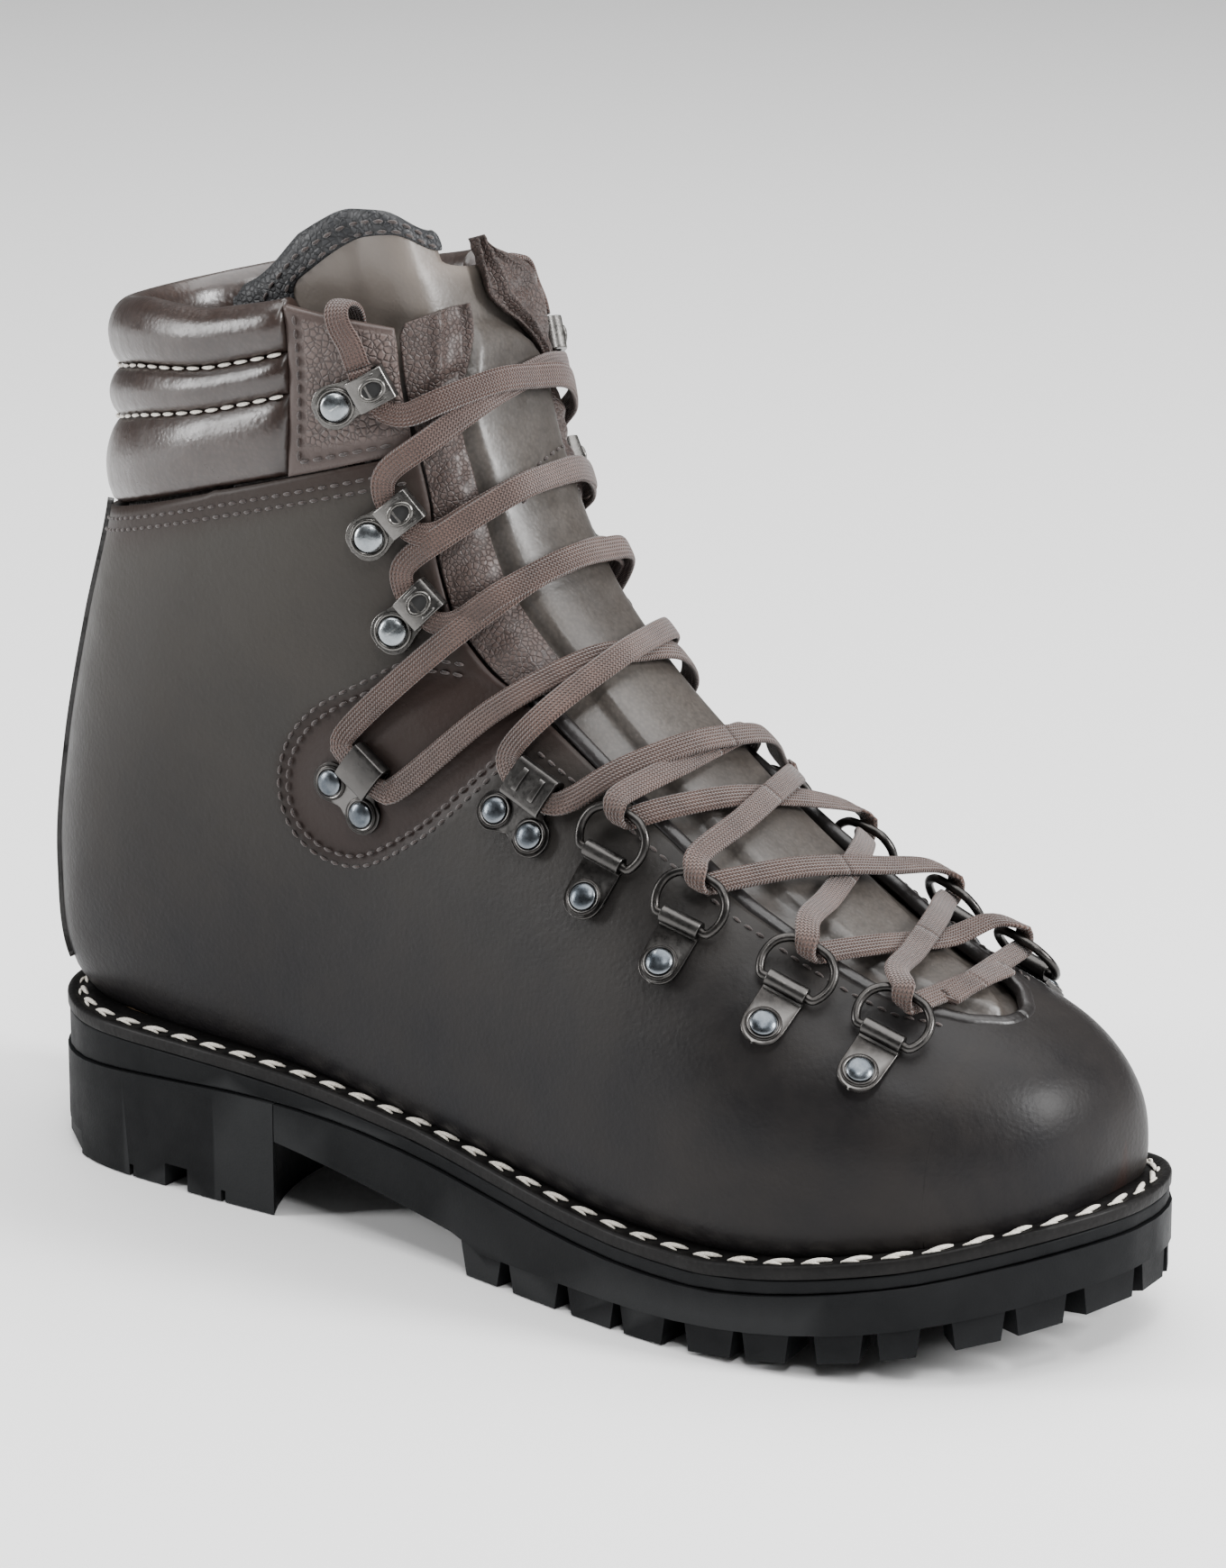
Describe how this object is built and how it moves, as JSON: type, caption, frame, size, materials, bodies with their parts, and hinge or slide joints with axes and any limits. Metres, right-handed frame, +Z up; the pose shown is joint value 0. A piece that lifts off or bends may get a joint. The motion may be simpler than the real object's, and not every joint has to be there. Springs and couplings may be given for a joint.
{
  "type": "mountaineering boot",
  "caption": "Leather mountaineering boot for the right foot with a lugged rubber sole, padded collar, bellows tongue, swinging lace rings, hooks and a laced-up flat lace.",
  "frame": {"origin": "on the floor, under the middle of the sole (bottom centre of the bounding box)", "axes": "+X towards the toe, +Y towards the inner side of the right foot, +Z up"},
  "size_m": [0.3116, 0.1114, 0.2563],
  "materials": {
    "rubber": "moulded black rubber, satin matt",
    "midsole": "black rubber, matt",
    "welt": "dark edge-dressed leather",
    "cork": "ground cork, matt",
    "spring_steel": "plain spring steel",
    "board": "fibre leather board",
    "footbed": "felted fabric",
    "upper_leather": "waxed full-grain leather, grey-brown, pulled-up highlights",
    "trim_leather": "dark smooth leather",
    "stiffener": "thermoplastic sheet",
    "padding": "foam faced with fabric",
    "lining": "soft lining leather",
    "collar_leather": "soft padded leather, dark brown, smooth sheen",
    "tongue_leather": "smooth waxed leather, grey-brown",
    "facing_leather": "pebbled brown leather",
    "bronzed_steel": "dark bronzed steel",
    "nickel": "nickel-plated steel",
    "lace": "flat woven polyester, dusty brown",
    "aglet": "plastic tip"
  },
  "bodies": {
    "root": {"outsole": "rubber", "heel_block": "rubber", "midsole": "midsole", "welt": "welt", "cork_filler": "cork", "shank": "spring_steel", "insole_board": "board", "footbed": "footbed", "upper": "upper_leather", "backstay": "trim_leather", "toe_puff": "stiffener", "heel_counter": "stiffener", "ankle_padding": "padding", "lining": "lining", "collar_roll_lower": "collar_leather", "collar_roll_middle": "collar_leather", "collar_roll_top": "collar_leather", "tongue": "tongue_leather", "tongue_binding": "trim_leather", "outer_facing_panel": "facing_leather", "outer_gusset": "facing_leather", "outer_facing_edge": "trim_leather", "outer_ring_plate_1": "bronzed_steel", "outer_ring_plate_2": "bronzed_steel", "outer_ring_plate_3": "bronzed_steel", "outer_ring_plate_4": "bronzed_steel", "outer_lock_hook": "bronzed_steel", "outer_ankle_hook": "bronzed_steel", "outer_speed_hook_7": "nickel", "outer_speed_hook_8": "nickel", "outer_speed_hook_9": "nickel", "inner_facing_panel": "facing_leather", "inner_gusset": "facing_leather", "inner_facing_edge": "trim_leather", "inner_ring_plate_1": "bronzed_steel", "inner_ring_plate_2": "bronzed_steel", "inner_ring_plate_3": "bronzed_steel", "inner_ring_plate_4": "bronzed_steel", "inner_lock_hook": "bronzed_steel", "inner_ankle_hook": "bronzed_steel", "inner_speed_hook_7": "nickel", "inner_speed_hook_8": "nickel", "inner_speed_hook_9": "nickel", "lace": "lace", "outer_lace_end": "lace", "outer_aglet": "aglet", "inner_lace_end": "lace", "inner_aglet": "aglet"},
    "outer_ring_1": {"outer_ring_1": "bronzed_steel"},
    "outer_ring_2": {"outer_ring_2": "bronzed_steel"},
    "outer_ring_3": {"outer_ring_3": "bronzed_steel"},
    "outer_ring_4": {"outer_ring_4": "bronzed_steel"},
    "inner_ring_1": {"inner_ring_1": "bronzed_steel"},
    "inner_ring_2": {"inner_ring_2": "bronzed_steel"},
    "inner_ring_3": {"inner_ring_3": "bronzed_steel"},
    "inner_ring_4": {"inner_ring_4": "bronzed_steel"}
  },
  "joints": [
    {"name": "outer_ring_1_swing", "type": "hinge", "parent": "root", "child": "outer_ring_1", "pos_m": [0.10818, -0.03141, 0.07962], "axis": [0.9188, 0.1823, -0.3502], "range_deg": [-5, 35], "deforming": ["lace"]},
    {"name": "outer_ring_2_swing", "type": "hinge", "parent": "root", "child": "outer_ring_2", "pos_m": [0.08537, -0.03726, 0.0885], "axis": [0.8998, 0.2107, -0.382], "range_deg": [-5, 35], "deforming": ["lace"]},
    {"name": "outer_ring_3_swing", "type": "hinge", "parent": "root", "child": "outer_ring_3", "pos_m": [0.0578, -0.04047, 0.0999], "axis": [0.9513, 0.1127, -0.2869], "range_deg": [-5, 35], "deforming": ["lace"]},
    {"name": "outer_ring_4_swing", "type": "hinge", "parent": "root", "child": "outer_ring_4", "pos_m": [0.03484, -0.03932, 0.11142], "axis": [0.9531, 0.0298, -0.3012], "range_deg": [-5, 35], "deforming": ["lace"]},
    {"name": "inner_ring_1_swing", "type": "hinge", "parent": "root", "child": "inner_ring_1", "pos_m": [0.10781, 0.03456, 0.07928], "axis": [-0.9624, 0.1348, 0.2357], "range_deg": [-5, 35], "deforming": ["lace"]},
    {"name": "inner_ring_2_swing", "type": "hinge", "parent": "root", "child": "inner_ring_2", "pos_m": [0.08475, 0.0382, 0.08579], "axis": [-0.9514, 0.1642, 0.2606], "range_deg": [-5, 35], "deforming": ["lace"]},
    {"name": "inner_ring_3_swing", "type": "hinge", "parent": "root", "child": "inner_ring_3", "pos_m": [0.05613, 0.04009, 0.09329], "axis": [-0.9783, 0.0213, 0.2062], "range_deg": [-5, 35], "deforming": ["lace"]},
    {"name": "inner_ring_4_swing", "type": "hinge", "parent": "root", "child": "inner_ring_4", "pos_m": [0.03185, 0.03875, 0.10212], "axis": [-0.9618, -0.0436, 0.2702], "range_deg": [-5, 35], "deforming": ["lace"]}
  ]
}
